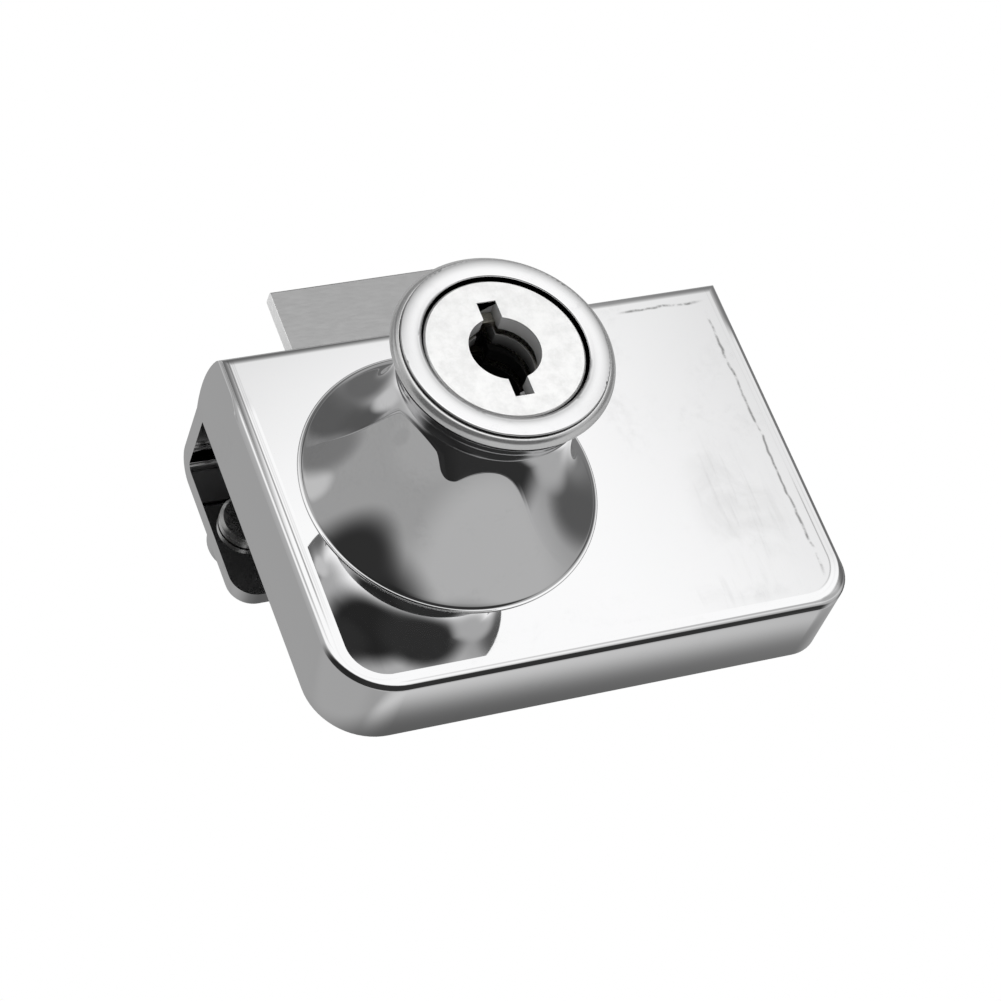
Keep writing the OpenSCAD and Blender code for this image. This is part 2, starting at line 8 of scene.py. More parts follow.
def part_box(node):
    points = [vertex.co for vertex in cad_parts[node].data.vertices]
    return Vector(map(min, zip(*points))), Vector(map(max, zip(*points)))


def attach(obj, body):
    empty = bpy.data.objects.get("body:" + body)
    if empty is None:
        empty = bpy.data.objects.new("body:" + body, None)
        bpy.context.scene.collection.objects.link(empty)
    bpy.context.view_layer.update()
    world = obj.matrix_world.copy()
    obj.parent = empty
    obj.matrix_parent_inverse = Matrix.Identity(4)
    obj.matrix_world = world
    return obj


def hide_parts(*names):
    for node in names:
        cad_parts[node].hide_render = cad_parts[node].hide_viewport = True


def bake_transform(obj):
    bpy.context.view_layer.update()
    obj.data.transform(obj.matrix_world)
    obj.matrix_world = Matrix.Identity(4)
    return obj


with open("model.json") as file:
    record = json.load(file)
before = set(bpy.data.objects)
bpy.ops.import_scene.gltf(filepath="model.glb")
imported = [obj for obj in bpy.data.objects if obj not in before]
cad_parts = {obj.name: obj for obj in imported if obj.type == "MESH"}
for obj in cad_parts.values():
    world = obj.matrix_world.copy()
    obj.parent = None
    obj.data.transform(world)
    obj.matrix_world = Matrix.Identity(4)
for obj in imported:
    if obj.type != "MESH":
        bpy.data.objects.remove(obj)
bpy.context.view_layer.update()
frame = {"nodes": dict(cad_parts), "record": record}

mm = 0.001
lockAxis = Vector((0, 1, 0))   # the knob, the barrel and the plug all lie on it
coverDepth = 8.8               # how far the cover plate lies behind the housing's front face
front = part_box("back_cover")[0].y - coverDepth * mm
print("frame loaded, front face at", round(front / mm, 3), "mm")


# camera

photoCamera = {
    "place": (-0.14786, -0.32513, -0.18362),
    "right": (0.90753, -0.24688, -0.33977),
    "up": (0.15843, -0.54799, 0.82134),
    "lens": 127.56,
    "sensor": 36,
}


def makeCamera():
    data = bpy.data.cameras.new("photoCamera")
    data.lens = photoCamera["lens"]
    data.sensor_width = photoCamera["sensor"]
    data.clip_start = 0.01
    camera = bpy.data.objects.new("photoCamera", data)
    right = Vector(photoCamera["right"])
    up = Vector(photoCamera["up"])
    turn = Matrix((right, up, right.cross(up))).transposed()
    camera.matrix_world = Matrix.Translation(photoCamera["place"]) @ turn.to_4x4()
    bpy.context.scene.collection.objects.link(camera)
    bpy.context.scene.camera = camera


makeCamera()
print("camera set")


# helpers for shader nodes

def addNode(tree, kind, **settings):
    node = tree.nodes.new("ShaderNode" + kind)
    for key, value in settings.items():
        setattr(node, key, value)
    return node


def feed(tree, node, socket, value):
    if isinstance(value, bpy.types.NodeSocket):
        tree.links.new(value, node.inputs[socket])
    else:
        node.inputs[socket].default_value = value


def calculate(tree, operation, first, second=0.0):
    node = addNode(tree, "Math", operation=operation)
    feed(tree, node, 0, first)
    feed(tree, node, 1, second)
    return node.outputs[0]


def product(tree, *values):
    result = values[0]
    for value in values[1:]:
        result = calculate(tree, "MULTIPLY", result, value)
    return result


def vectorSum(tree, first, second):
    node = addNode(tree, "VectorMath", operation="ADD")
    feed(tree, node, 0, first)
    feed(tree, node, 1, second)
    return node.outputs[0]


def scaled(tree, vector, factor):
    node = addNode(tree, "VectorMath", operation="SCALE")
    feed(tree, node, 0, vector)
    feed(tree, node, "Scale", factor)
    return node.outputs[0]


def unitLength(tree, vector):
    node = addNode(tree, "VectorMath", operation="NORMALIZE")
    feed(tree, node, 0, vector)
    return node.outputs[0]


def combined(tree, x, y, z):
    node = addNode(tree, "CombineXYZ")
    for label, value in zip("XYZ", (x, y, z)):
        feed(tree, node, label, value)
    return node.outputs[0]


def ramp(tree, value, low, high, start=0.0, end=1.0, smooth=True):
    node = addNode(tree, "MapRange", interpolation_type="SMOOTHSTEP" if smooth else "LINEAR")
    feed(tree, node, "Value", value)
    feed(tree, node, "From Min", low)
    feed(tree, node, "From Max", high)
    feed(tree, node, "To Min", start)
    feed(tree, node, "To Max", end)
    return node.outputs["Result"]


# a ramp between two distances in millimetres from a given place
def rampFrom(tree, value, place, limits, start=0.0, end=1.0):
    return ramp(tree, value, place + limits[0] * mm, place + limits[1] * mm, start, end)


def grey(level):
    return (level, level, level, 1)


def blendColours(tree, mask, first, second):
    node = addNode(tree, "Mix", data_type="RGBA")
    feed(tree, node, "Factor", mask)
    feed(tree, node, "A", first)
    feed(tree, node, "B", second)
    return node.outputs["Result"]


def noise(tree, place, scale, detail=3.0, roughness=0.5, distortion=0.0):
    node = addNode(tree, "TexNoise")
    feed(tree, node, "Vector", place)
    feed(tree, node, "Scale", scale)
    feed(tree, node, "Detail", detail)
    feed(tree, node, "Roughness", roughness)
    feed(tree, node, "Distortion", distortion)
    return node.outputs["Fac"]


def stretch(tree, place, scale, turn=(0.0, 0.0, 0.0)):
    node = addNode(tree, "Mapping")
    feed(tree, node, "Vector", place)
    feed(tree, node, "Scale", scale)
    feed(tree, node, "Rotation", turn)
    return node.outputs["Vector"]


def objectPlace(tree):
    return addNode(tree, "TexCoord").outputs["Object"]


def placeParts(tree):
    parts = addNode(tree, "SeparateXYZ")
    feed(tree, parts, 0, objectPlace(tree))
    return parts.outputs[:3]


# distance from the knob's axis
def fromAxis(tree, x, z):
    return calculate(tree, "SQRT", calculate(tree, "ADD", product(tree, x, x), product(tree, z, z)))


# 1 between two values in millimetres, with soft ends
def within(tree, value, low, high, soft):
    rise = ramp(tree, value, (low - soft) * mm, (low + soft) * mm)
    fall = ramp(tree, value, (high - soft) * mm, (high + soft) * mm, 1.0, 0.0)
    return product(tree, rise, fall)


# studio: a pale room, seen in the chrome as soft cards in given directions

studio = {
    "room": 0.34,
    # azimuth and elevation of the card's middle, angle where it is full, angle where it ends, level
    "cards": [
        (169, 26, 25, 49, 1.02),
        (-174, 28, 3, 8, 1.0),
        (-150, 36, 9, 30, 0.42),
        (112, 27, 21, 37, 0.2),
        (94, -77, 36, 67, 0.45),
        (-32, -6, 20, 34, 0.37),
        (11, 18, 3, 10, 0.28),
        (-143, -21, 24, 47, 0.02),
        (-111, -14, 12, 32, 0.028),
        (171, -36, 20, 40, 0.03),
        (114, 5, 7, 26, 0.1),
        (143, -3, 7, 20, 0.42),
        (-96, 39, 6, 13, 0.54),
        (-44, 14, 3, 8, 0.33),
        (-70, 57, 10, 24, 0.19),
        (-153, 67, 11, 23, 0.11),
        (163, 51, 7, 24, 0.14),
        (-146, 48, 4, 16, 0.096),
        (-163, 39, 4, 11, 0.57),
        (17, -20, 2, 18, 0.59),
        (12, 2, 3, 27, 0.1),
    ],
    "diffuse": 0.9,
}


def direction(azimuth, elevation):
    a = radians(azimuth)
    e = radians(elevation)
    return Vector((sin(a) * cos(e), cos(a) * cos(e), sin(e)))


def makeStudio():
    world = bpy.data.worlds.new("paleRoom")
    bpy.context.scene.world = world
    world.use_nodes = True
    tree = world.node_tree
    tree.nodes.clear()
    looking = addNode(tree, "TexCoord").outputs["Generated"]
    level = grey(studio["room"])
    for azimuth, elevation, full, end, card in studio["cards"]:
        facing = addNode(tree, "VectorMath", operation="DOT_PRODUCT")
        feed(tree, facing, 0, looking)
        feed(tree, facing, 1, direction(azimuth, elevation))
        mask = ramp(tree, facing.outputs["Value"], cos(radians(end)), cos(radians(full)))
        level = blendColours(tree, mask, level, grey(card))
    rays = addNode(tree, "LightPath")
    cards = addNode(tree, "Background")
    feed(tree, cards, "Color", level)
    backdrop = addNode(tree, "Background")
    feed(tree, backdrop, "Color", grey(1.0))
    soft = addNode(tree, "Background")
    feed(tree, soft, "Color", grey(studio["diffuse"]))
    lit = addNode(tree, "MixShader")
    feed(tree, lit, 0, rays.outputs["Is Diffuse Ray"])
    feed(tree, lit, 1, cards.outputs[0])
    feed(tree, lit, 2, soft.outputs[0])
    seen = addNode(tree, "MixShader")
    feed(tree, seen, 0, rays.outputs["Is Camera Ray"])
    feed(tree, seen, 1, lit.outputs[0])
    feed(tree, seen, 2, backdrop.outputs[0])
    feed(tree, addNode(tree, "OutputWorld"), "Surface", seen.outputs[0])


floorShape = {"size": 6, "level": -0.4, "paint": 0.9, "dull": 0.9}


def makeFloor():
    s = floorShape
    bm = bmesh.new()
    bmesh.ops.create_grid(bm, x_segments=4, y_segments=4, size=s["size"])
    bmesh.ops.translate(bm, verts=bm.verts, vec=(0, 0, s["level"]))
    mesh = bpy.data.meshes.new("floor")
    bm.to_mesh(mesh)
    bm.free()
    floor = bpy.data.objects.new("floor", mesh)
    bpy.context.scene.collection.objects.link(floor)
    floor.visible_glossy = False
    paint = bpy.data.materials.new("palePaint")
    paint.use_nodes = True
    shader = paint.node_tree.nodes["Principled BSDF"]
    shader.inputs["Base Color"].default_value = grey(s["paint"])
    shader.inputs["Roughness"].default_value = s["dull"]
    mesh.materials.append(paint)


softboxes = [
    {"name": "keySoftbox", "place": (0.5, -0.9, 0.7), "size": 0.8, "power": 9},
    {"name": "fillSoftbox", "place": (-0.8, 0.3, 0.9), "size": 0.9, "power": 5},
]


def makeLamps():
    for box in softboxes:
        lamp = bpy.data.lights.new(box["name"], "AREA")
        lamp.energy = box["power"]
        lamp.size = box["size"]
        holder = bpy.data.objects.new(box["name"], lamp)
        holder.location = box["place"]
        holder.rotation_euler = (-Vector(box["place"])).to_track_quat("-Z", "Y").to_euler()
        holder.visible_glossy = False
        bpy.context.scene.collection.objects.link(holder)


makeStudio()
makeFloor()
makeLamps()
print("studio ready")


# shader groups shared by several finishes

def newGroup(name, inputs, outputs):
    tree = bpy.data.node_groups.new(name, "ShaderNodeTree")
    for label, kind, value in inputs:
        socket = tree.interface.new_socket(label, in_out="INPUT", socket_type="NodeSocket" + kind)
        socket.default_value = value
    for label, kind in outputs:
        tree.interface.new_socket(label, in_out="OUTPUT", socket_type="NodeSocket" + kind)
    return tree, tree.nodes.new("NodeGroupInput"), tree.nodes.new("NodeGroupOutput")


def placeGroup(tree, group, **values):
    node = tree.nodes.new("ShaderNodeGroup")
    node.node_tree = group
    for label, value in values.items():
        feed(tree, node, label, value)
    return node


# slow waves that a polished plated surface always has
def makePlatingWaves():
    tree, given, made = newGroup("platingWaves", [("Size", "Float", 120.0), ("Depth", "Float", 0.00001)],
                                 [("Normal", "Vector")])
    height = noise(tree, objectPlace(tree), given.outputs["Size"], detail=1.0)
    bump = addNode(tree, "Bump")
    feed(tree, bump, "Height", height)
    feed(tree, bump, "Distance", given.outputs["Depth"])
    feed(tree, made, "Normal", bump.outputs["Normal"])
    return tree


# cloudy marks left by handling and polishing
def makeHandlingMarks():
    tree, given, made = newGroup(
        "handlingMarks", [("Size", "Float", 90.0), ("Clean", "Float", 0.03), ("Marked", "Float", 0.1)],
        [("Roughness", "Float"), ("Mask", "Float")])
    place = objectPlace(tree)
    clouds = noise(tree, place, given.outputs["Size"], detail=4.0, roughness=0.6, distortion=0.8)
    fine = noise(tree, place, product(tree, given.outputs["Size"], 14.0), detail=2.0, roughness=0.6)
    mask = product(tree, ramp(tree, clouds, 0.5, 0.72), ramp(tree, fine, 0.35, 0.7))
    feed(tree, made, "Mask", mask)
    feed(tree, made, "Roughness",
         ramp(tree, mask, 0.0, 1.0, given.outputs["Clean"], given.outputs["Marked"], smooth=False))
    return tree


# fine grain of brushed, blasted or rolled metal
def makeMetalGrain():
    tree, given, made = newGroup(
        "metalGrain", [("Scale", "Vector", (4000.0,) * 3), ("Depth", "Float", 0.000002),
                       ("Smooth", "Float", 0.25), ("Coarse", "Float", 0.4)],
        [("Roughness", "Float"), ("Mask", "Float"), ("Normal", "Vector")])
    place = stretch(tree, objectPlace(tree), given.outputs["Scale"])
    grain = noise(tree, place, 1.0, detail=4.0, roughness=0.65)
    feed(tree, made, "Mask", grain)
    feed(tree, made, "Roughness",
         ramp(tree, grain, 0.3, 0.7, given.outputs["Smooth"], given.outputs["Coarse"]))
    bump = addNode(tree, "Bump")
    feed(tree, bump, "Height", grain)
    feed(tree, bump, "Distance", given.outputs["Depth"])
    feed(tree, made, "Normal", bump.outputs["Normal"])
    return tree


# box walls that buffing has rounded off a little: they turn towards the rear edge
def makeBuffedWalls():
    tree, given, made = newGroup("buffedWalls", [("Turn", "Float", 0.2), ("Normal", "Vector", (0, 0, 1))],
                                 [("Normal", "Vector")])
    turn = product(tree, ramp(tree, placeParts(tree)[1], front, 0.0, smooth=False), given.outputs["Turn"])
    turned = vectorSum(tree, given.outputs["Normal"], combined(tree, 0.0, turn, 0.0))
    feed(tree, made, "Normal", unitLength(tree, turned))
    return tree


# a wavy line at a given distance, broken up where it fades
def makeWavyLine():
    tree, given, made = newGroup(
        "wavyLine", [("Distance", "Float", 0.0), ("Middle", "Float", 0.003), ("Sway", "Float", 0.001),
                     ("Width", "Float", 0.0002)],
        [("Mask", "Float")])
    place = objectPlace(tree)
    waves = noise(tree, place, 230.0, detail=2.0, roughness=0.6)
    sway = product(tree, calculate(tree, "SUBTRACT", waves, 0.5), given.outputs["Sway"])
    away = calculate(tree, "SUBTRACT", given.outputs["Distance"],
                     calculate(tree, "ADD", given.outputs["Middle"], sway))
    line = ramp(tree, calculate(tree, "ABSOLUTE", away), 0.0, given.outputs["Width"], 1.0, 0.0)
    fade = ramp(tree, noise(tree, place, 420.0, detail=3.0, roughness=0.7), 0.36, 0.6)
    feed(tree, made, "Mask", product(tree, line, fade))
    return tree


platingWaves = makePlatingWaves()
buffedWalls = makeBuffedWalls()
wavyLine = makeWavyLine()
handlingMarks = makeHandlingMarks()
metalGrain = makeMetalGrain()


def newFinish(name, metallic=1.0):
    material = bpy.data.materials.new(name)
    material.use_nodes = True
    tree = material.node_tree
    shader = tree.nodes["Principled BSDF"]
    shader.inputs["Metallic"].default_value = metallic
    return material, tree, shader


# the knob's chrome: fingers have dulled the head's lip, which is given as depths from the front face
knobWear = {"lip": (-24.5, -24.2), "lipColour": 0.86, "lipDull": 0.2, "lipMetallic": 0.88}


def knobFinish():
    material, tree, shader = newFinish("knobChrome")
    s = knobWear
    y = placeParts(tree)[1]
    marks = placeGroup(tree, handlingMarks, Size=110.0, Clean=0.015, Marked=0.06)
    chrome = blendColours(tree, marks.outputs["Mask"], (0.93, 0.93, 0.935, 1), (0.87, 0.87, 0.875, 1))
    lip = rampFrom(tree, y, front, s["lip"], 1.0, 0.0)
    feed(tree, shader, "Base Color", blendColours(tree, lip, chrome, grey(s["lipColour"])))
    feed(tree, shader, "Metallic", ramp(tree, lip, 0.0, 1.0, 1.0, s["lipMetallic"], smooth=False))
    feed(tree, shader, "Roughness",
         calculate(tree, "MAXIMUM", marks.outputs["Roughness"], product(tree, lip, s["lipDull"])))
    ripple = placeGroup(tree, platingWaves, Size=120.0, Depth=0.000004)
    feed(tree, shader, "Normal", ripple.outputs["Normal"])
    return material


# the barrel's flange is a soft bright ring; inside and outside it, the recess wall and the flange's side are
# painted near black as painted shade in the joints
barrelJointShade = {"joints": (9.22, 11.36), "jointEdge": 0.06, "front": -36.8, "depth": (0.12, 0.2),
              "jointShadeColour": 0.008}


def barrelFinish():
    material, tree, shader = newFinish("barrelChrome")
    s = barrelJointShade
    x, y, z = placeParts(tree)
    ring = within(tree, fromAxis(tree, x, z), *s["joints"], s["jointEdge"])
    deep = rampFrom(tree, y, s["front"] * mm, s["depth"])
    # painted shade: deeper than the flange's front, everything outside the bright ring is painted near black
    jointShade = product(tree, calculate(tree, "SUBTRACT", 1.0, ring), deep)
    marks = placeGroup(tree, handlingMarks, Size=160.0, Clean=0.1, Marked=0.17)
    chrome = blendColours(tree, marks.outputs["Mask"], (0.95, 0.95, 0.955, 1), (0.88, 0.88, 0.885, 1))
    feed(tree, shader, "Base Color", blendColours(tree, jointShade, chrome, grey(s["jointShadeColour"])))
    feed(tree, shader, "Roughness", marks.outputs["Roughness"])
    ripple = placeGroup(tree, platingWaves, Size=160.0, Depth=0.000003)
    feed(tree, shader, "Normal", ripple.outputs["Normal"])
    return material


# the plug's face is satin and faintly mottled; its keyhole is duller, with painted shade darkening it with
# depth, and the plug's side round its head is painted near black as shade in its gap
plugBoreShade = {
    "front": -36.4, "mouth": (0.1, 0.3), "rim": (8.74, 8.8), "bore": (0.8, 5.5),
    "boreShadeColours": (0.5, 0.02), "rimShadeColour": 0.01, "metallic": (0.65, 0.35), "boreDull": 0.3,
}


def plugFinish():
    material, tree, shader = newFinish("plugSatin")
    s = plugBoreShade
    x, y, z = placeParts(tree)
    grain = placeGroup(tree, metalGrain, Scale=(1500.0,) * 3, Depth=0.000005, Smooth=0.1, Coarse=0.24)
    clouds = ramp(tree, noise(tree, objectPlace(tree), 700.0, detail=4.0, roughness=0.7), 0.35, 0.7)
    nickel = blendColours(tree, clouds, (0.93, 0.93, 0.925, 1), (0.82, 0.82, 0.815, 1))
    face = s["front"] * mm
    inside = rampFrom(tree, y, face, s["mouth"])
    rim = rampFrom(tree, fromAxis(tree, x, z), 0.0, s["rim"])
    # painted shade: the keyhole's walls darken with depth, and the side of the head beyond its rim is
    # painted near black
    bore = blendColours(tree, rampFrom(tree, y, face, s["bore"]), *map(grey, s["boreShadeColours"]))
    bore = blendColours(tree, rim, bore, grey(s["rimShadeColour"]))
    feed(tree, shader, "Base Color", blendColours(tree, inside, nickel, bore))
    feed(tree, shader, "Metallic", ramp(tree, inside, 0.0, 1.0, *s["metallic"]))
    feed(tree, shader, "Roughness",
         ramp(tree, inside, 0.0, 1.0, grain.outputs["Roughness"], s["boreDull"], smooth=False))
    feed(tree, shader, "Normal", grain.outputs["Normal"])
    return material


# the housing's front has wavy worn lines inside its right and top edges, rubbed patches low down and
# painted dark reflections as lines in its bevel
faceWearAndReflections = {
    "left": -20.6, "right": 41.9, "bottom": -23.8, "top": 20.7,
    "corner": 6.0, "outlineTop": 60.0, "depth": (0.35, 0.7),
    "rightLine": 2.9, "topLine": 2.2, "sway": 1.3, "lineWidth": 0.3,
    "rightEnds": (-19.5, 16.0), "topEnds": (29.0, 38.5), "endsFade": 1.2,
    # the bevel's lines of painted dark reflection, as distances in from the outline, with their strength at
    # the left and right
    "bevelLines": [((0.34, 0.5), 0.8, 0.5), ((0.98, 1.14), 1.0, 0.1), ((1.3, 1.46), 0.3, 0.0),
                   ((1.52, 1.68), 0.25, 0.7)],
    "bevelLineEdge": 0.07, "linesTop": (19.9, 20.4),
    # where the left and the right lines fade, and what is left of them there
    "leftSide": (-17.0, -13.0), "leftLow": (-17.0, -9.0), "leftRest": (0.15, 0.1),
    "rightSide": (36.0, 40.5), "rightCorner": (-12.0, -5.0), "rightRest": 0.1,
    # middle and radii of the rubbed patches, which are full up to a share of their radius
    "patches": [(32.5, -10.0, 7.0, 13.0), (-14.0, -20.0, 7.0, 3.0), (29.0, -20.0, 9.0, 3.0)],
    "patchCore": 0.3, "clouds": 0.2,
    "strokes": 0.12, "strokeScale": (1500.0, 300.0, 160.0), "strokeTurn": (0.0, 0.6, 0.0),
    "chrome": (0.94, 0.94, 0.945, 1), "wearAndReflectionColour": 0.4, "wearAndReflectionDull": 0.25, "handled": 0.12,
    "buffing": 0.226,
}


# distance in from the housing's outline, round at its lower corners, and the way out to it; the
# upper edge is left out
def fromOutline(tree, x, z):
    s = faceWearAndReflections
    out = []
    for value, low, high in ((x, s["left"], s["right"]), (z, s["bottom"], s["outlineTop"])):
        away = calculate(tree, "ABSOLUTE", calculate(tree, "SUBTRACT", value, (low + high) / 2 * mm))
        out.append(calculate(tree, "SUBTRACT", away, ((high - low) / 2 - s["corner"]) * mm))
    flat = calculate(tree, "MINIMUM", calculate(tree, "MAXIMUM", out[0], out[1]), 0.0)
    out = [calculate(tree, "MAXIMUM", value, 0.0) for value in out]
    rounding = fromAxis(tree, *out)
    inward = calculate(tree, "SUBTRACT", s["corner"] * mm, calculate(tree, "ADD", rounding, flat))
    return inward, calculate(tree, "DIVIDE", out[0], rounding), calculate(tree, "DIVIDE", out[1], rounding)


def wornLines(tree, x, z):
    s = faceWearAndReflections
    lines = []
    for edge, away, along in (("right", x, z), ("top", z, x)):
        line = placeGroup(tree, wavyLine, Distance=calculate(tree, "SUBTRACT", s[edge] * mm, away),
                          Middle=s[edge + "Line"] * mm, Sway=s["sway"] * mm, Width=s["lineWidth"] * mm)
        ends = within(tree, along, *s[edge + "Ends"], s["endsFade"])
        lines.append(product(tree, line.outputs["Mask"], ends))
    return calculate(tree, "MAXIMUM", *lines)


# soft clouds with fine strokes in the rubbed patches
def rubbedPatches(tree, x, z):
    s = faceWearAndReflections
    place = objectPlace(tree)
    patches = 0.0
    for middleX, middleZ, radiusX, radiusZ in s["patches"]:
        across = calculate(tree, "DIVIDE", calculate(tree, "SUBTRACT", x, middleX * mm), radiusX * mm)
        up = calculate(tree, "DIVIDE", calculate(tree, "SUBTRACT", z, middleZ * mm), radiusZ * mm)
        patch = ramp(tree, fromAxis(tree, across, up), s["patchCore"], 1.0, 1.0, 0.0)
        patches = calculate(tree, "MAXIMUM", patches, patch)
    clouds = noise(tree, place, 150.0, detail=4.0, roughness=0.6, distortion=0.6)
    strokes = noise(tree, stretch(tree, place, s["strokeScale"], s["strokeTurn"]), 1.0, detail=2.0)
    marks = calculate(tree, "ADD", product(tree, ramp(tree, clouds, 0.4, 0.7), s["clouds"]),
                      product(tree, ramp(tree, strokes, 0.5, 0.75), s["strokes"]))
    return product(tree, patches, marks)


# painted dark reflections: lines along the bevel, strong low down at the right and higher up at the left
def bevelLines(tree, x, z, inward):
    s = faceWearAndReflections
    atLeft = product(tree, rampFrom(tree, x, 0.0, s["leftSide"], 1.0, s["leftRest"][0]),
                     rampFrom(tree, z, 0.0, s["leftLow"], s["leftRest"][1], 1.0))
    atRight = product(tree, rampFrom(tree, x, 0.0, s["rightSide"]),
                      rampFrom(tree, z, 0.0, s["rightCorner"], 1.0, s["rightRest"]))
    lines = 0.0
    for limits, leftStrength, rightStrength in s["bevelLines"]:
        strength = calculate(tree, "ADD", product(tree, atLeft, leftStrength),
                             product(tree, atRight, rightStrength))
        line = within(tree, inward, *limits, s["bevelLineEdge"])
        lines = calculate(tree, "MAXIMUM", lines, product(tree, line, strength))
    return product(tree, lines, rampFrom(tree, z, 0.0, s["linesTop"], 1.0, 0.0))


# the rim between the face and the walls is shaded softer than it is in CAD, with the same shape: the
# bevel starts further in, and the walls' front edges roll over, light next to it and dark behind
rimShape = {
    "bevel": (0.6, 1.62), "bevelEdge": 0.04, "leftWider": 0.4,
    "slope": (0.16, 0.09),   # of the left bevel and the lower one
    "depth": (0.12, 0.2), "roll": 1.33, "lightRoll": 2.66, "light": (0.25, 0.4), "end": (1.1, 1.45),
    "top": (12.0, 16.0),
}


def softenRim(tree, normal, place, outline):
    s = rimShape
    x, y, z = place
    inward, sideways, down = outline
    low = rampFrom(tree, z, 0.0, s["top"], 1.0, 0.0)
    behind = rampFrom(tree, y, front, s["depth"])
    leftwards = product(tree, sideways, calculate(tree, "LESS_THAN", x, 0.0))
    inward = calculate(tree, "SUBTRACT", inward, product(tree, leftwards, s["leftWider"] * mm))
    bevel = product(tree, within(tree, inward, *s["bevel"], s["bevelEdge"]), low,
                    calculate(tree, "SUBTRACT", 1.0, behind))
    slope = combined(tree, product(tree, leftwards, -s["slope"][0]), -1.0,
                     product(tree, down, -s["slope"][1]))
    normal = vectorSum(tree, scaled(tree, normal, calculate(tree, "SUBTRACT", 1.0, bevel)),
                       scaled(tree, slope, bevel))
    roll = product(tree, rampFrom(tree, y, front, s["light"], -s["lightRoll"], -s["roll"]),
                   rampFrom(tree, y, front, s["end"], 1.0, 0.0), behind, low)
    return unitLength(tree, vectorSum(tree, normal, combined(tree, 0.0, roll, 0.0)))


def castFinish():
    material, tree, shader = newFinish("castChrome")
    s = faceWearAndReflections
    x, y, z = placeParts(tree)
    outline = fromOutline(tree, x, z)
    wearAndReflections = calculate(tree, "MAXIMUM", wornLines(tree, x, z), bevelLines(tree, x, z, outline[0]))
    wearAndReflections = calculate(tree, "MAXIMUM", wearAndReflections, rubbedPatches(tree, x, z))
    wearAndReflections = product(tree, wearAndReflections, rampFrom(tree, y, front, s["depth"], 1.0, 0.0))
    marks = placeGroup(tree, handlingMarks, Size=70.0, Clean=0.025, Marked=0.08)
    grimeAndReflections = calculate(tree, "MAXIMUM", wearAndReflections, product(tree, marks.outputs["Mask"], s["handled"]))
    # wear, handling marks and the bevel's painted dark reflections all darken the chrome with one colour
    feed(tree, shader, "Base Color", blendColours(tree, grimeAndReflections, s["chrome"], grey(s["wearAndReflectionColour"])))
    feed(tree, shader, "Roughness",
         calculate(tree, "MAXIMUM", marks.outputs["Roughness"], product(tree, wearAndReflections, s["wearAndReflectionDull"])))
    ripple = placeGroup(tree, platingWaves, Size=90.0, Depth=0.000005)
    walls = placeGroup(tree, buffedWalls, Turn=s["buffing"], Normal=ripple.outputs["Normal"])
    feed(tree, shader, "Normal", softenRim(tree, walls.outputs["Normal"], (x, y, z), outline))
    return material


# satin or plated metals and rubber, with a grain that may run one way
grained = {
    "zincPlate": {"bright": (0.68, 0.69, 0.71), "dark": (0.55, 0.56, 0.58), "scale": (900.0,) * 3,
                  "depth": 0.000004, "smooth": 0.22, "coarse": 0.4},
    "rolledSheet": {"bright": (0.72, 0.73, 0.74), "dark": (0.62, 0.63, 0.64),
                    "scale": (300.0, 3000.0, 5000.0), "depth": 0.000003, "smooth": 0.25, "coarse": 0.42},
    "nickelPlate": {"bright": (0.86, 0.86, 0.85), "dark": (0.74, 0.74, 0.73), "scale": (500.0,) * 3,
                    "depth": 0.000002, "smooth": 0.2, "coarse": 0.34},
    "waferBrass": {"bright": (0.84, 0.81, 0.72), "dark": (0.72, 0.69, 0.6),
                   "scale": (500.0, 3500.0, 3500.0), "depth": 0.000003, "smooth": 0.22, "coarse": 0.4},
    "springWire": {"bright": (0.66, 0.66, 0.68), "dark": (0.5, 0.5, 0.52), "scale": (2500.0,) * 3,
                   "depth": 0.000002, "smooth": 0.15, "coarse": 0.3},
    "linerRubber": {"bright": (0.035, 0.035, 0.036), "dark": (0.018, 0.018, 0.018),
                    "scale": (2500.0,) * 3, "depth": 0.00001, "smooth": 0.6, "coarse": 0.85,
                    "metallic": 0.0},
}


def grainFinish(name, bright, dark, scale, depth, smooth, coarse, metallic=1.0):
    material, tree, shader = newFinish(name, metallic)
    grain = placeGroup(tree, metalGrain, Scale=scale, Depth=depth, Smooth=smooth, Coarse=coarse)
    feed(tree, shader, "Base Color", blendColours(tree, grain.outputs["Mask"], dark + (1,), bright + (1,)))
    feed(tree, shader, "Roughness", grain.outputs["Roughness"])
    feed(tree, shader, "Normal", grain.outputs["Normal"])
    return material


# the bolt's sheared sides are brighter and more matt than its faces
boltWear = {
    "steel": (0.62, 0.69), "grain": (600.0, 4000.0, 5000.0),
    "side": (-0.12, -0.05), "sideColour": 0.9, "sideMetallic": 0.35,
}


def boltFinish():
    material, tree, shader = newFinish("boltSatin")
    s = boltWear
    grain = placeGroup(tree, metalGrain, Scale=s["grain"], Depth=0.000003, Smooth=0.3, Coarse=0.42)
    low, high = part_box("bolt")
    aside = calculate(tree, "SUBTRACT", placeParts(tree)[0], (low.x + high.x) / 2)
    side = rampFrom(tree, calculate(tree, "ABSOLUTE", aside), (high.x - low.x) / 2, s["side"])
    steel = blendColours(tree, grain.outputs["Mask"], *map(grey, s["steel"]))
    feed(tree, shader, "Base Color", blendColours(tree, side, steel, grey(s["sideColour"])))
    feed(tree, shader, "Metallic", ramp(tree, side, 0.0, 1.0, 1.0, s["sideMetallic"], smooth=False))
    feed(tree, shader, "Roughness", grain.outputs["Roughness"])
    feed(tree, shader, "Normal", grain.outputs["Normal"])
    return material


finishes = {
    "castChrome": castFinish(),
    "knobChrome": knobFinish(),
    "barrelChrome": barrelFinish(),
    "plugSatin": plugFinish(),
    "boltSatin": boltFinish(),
}
for name, settings in grained.items():
    finishes[name] = grainFinish(name, **settings)
print("finishes ready")


# helpers for pieces

